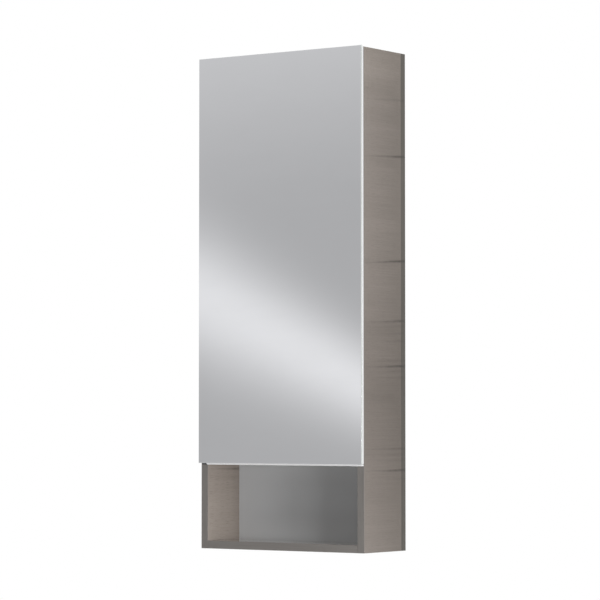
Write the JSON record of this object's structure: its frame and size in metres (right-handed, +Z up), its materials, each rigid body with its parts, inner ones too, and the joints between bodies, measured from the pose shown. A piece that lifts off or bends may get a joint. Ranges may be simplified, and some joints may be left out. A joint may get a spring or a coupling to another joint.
{
  "type": "bathroom mirror cabinet",
  "caption": "Tall narrow wall-hung bathroom cabinet: a shelved cupboard behind one mirror door with concealed hinges, an open niche below, and adjustable hangers behind.",
  "frame": {"origin": "on the wall plane, in the middle of the four screw holes of the wall plates", "axes": "+X to the right along the wall, +Y into the wall, +Z up; the mirror faces -Y"},
  "size_m": [0.4, 0.16, 1.002],
  "materials": {
    "wood_laminate": "structured grey-brown wood laminate, grain across",
    "dark_edging": "satin edging",
    "grey_panel": "satin grey lacquer",
    "beech": "fluted beech",
    "zinc_screw": "bright zinc",
    "clear_glass": "polished",
    "silvered_glass": "silvered",
    "aluminium": "satin anodised",
    "nickel_steel": "nickel plated",
    "plain_steel": "zinc plated",
    "white_plastic": "moulded",
    "black_plastic": "moulded",
    "ferrite": "ground ferrite",
    "soft_bumper": "clear silicone"
  },
  "bodies": {
    "carcass": {"left_side_board": "wood_laminate", "right_side_board": "wood_laminate", "top_board": "wood_laminate", "bottom_board": "wood_laminate", "fixed_shelf": "wood_laminate", "back_board": "wood_laminate", "left_front_edging": "dark_edging", "right_front_edging": "dark_edging", "top_front_edging": "dark_edging", "bottom_front_edging": "dark_edging", "shelf_front_edging": "dark_edging", "left_back_edging": "dark_edging", "right_back_edging": "dark_edging", "niche_back_panel": "grey_panel", "corner_dowels": "beech", "niche_panel_dowels": "beech", "back_screws": "zinc_screw", "hinge_plate_screws": "zinc_screw", "catch_screws": "zinc_screw", "hanger_housing_screws": "zinc_screw", "hanger_height_screws": "zinc_screw", "hanger_depth_screws": "zinc_screw", "hinge_clamp_screws": "zinc_screw", "hinge_adjusting_screws": "zinc_screw", "lower_glass_shelf": "clear_glass", "middle_glass_shelf": "clear_glass", "upper_glass_shelf": "clear_glass", "shelf_pins": "nickel_steel", "hinge_pins": "nickel_steel", "upper_hinge_arm": "nickel_steel", "lower_hinge_arm": "nickel_steel", "upper_hinge_plate": "nickel_steel", "lower_hinge_plate": "nickel_steel", "left_hanger_hook": "plain_steel", "right_hanger_hook": "plain_steel", "left_wall_plate": "plain_steel", "right_wall_plate": "plain_steel", "catch_housing": "white_plastic", "left_hanger_housing": "white_plastic", "right_hanger_housing": "white_plastic", "catch_magnet": "ferrite"},
    "door": {"mirror_glass": "silvered_glass", "inner_mirror": "silvered_glass", "hinge_side_profile": "aluminium", "free_side_profile": "aluminium", "lower_profile": "aluminium", "upper_profile": "aluminium", "finger_grip": "aluminium", "grip_end_cap": "black_plastic", "door_bumpers": "soft_bumper", "lower_hinge_leaves": "nickel_steel", "upper_hinge_leaves": "nickel_steel", "hinge_leaf_screws": "zinc_screw", "strike_plate": "plain_steel", "strike_screws": "zinc_screw"}
  },
  "joints": [
    {"name": "door_hinge", "type": "hinge", "parent": "carcass", "child": "door", "pos_m": [-0.1977, -0.1537, 0], "axis": [0, 0, -1], "range_deg": [0, 105]}
  ]
}
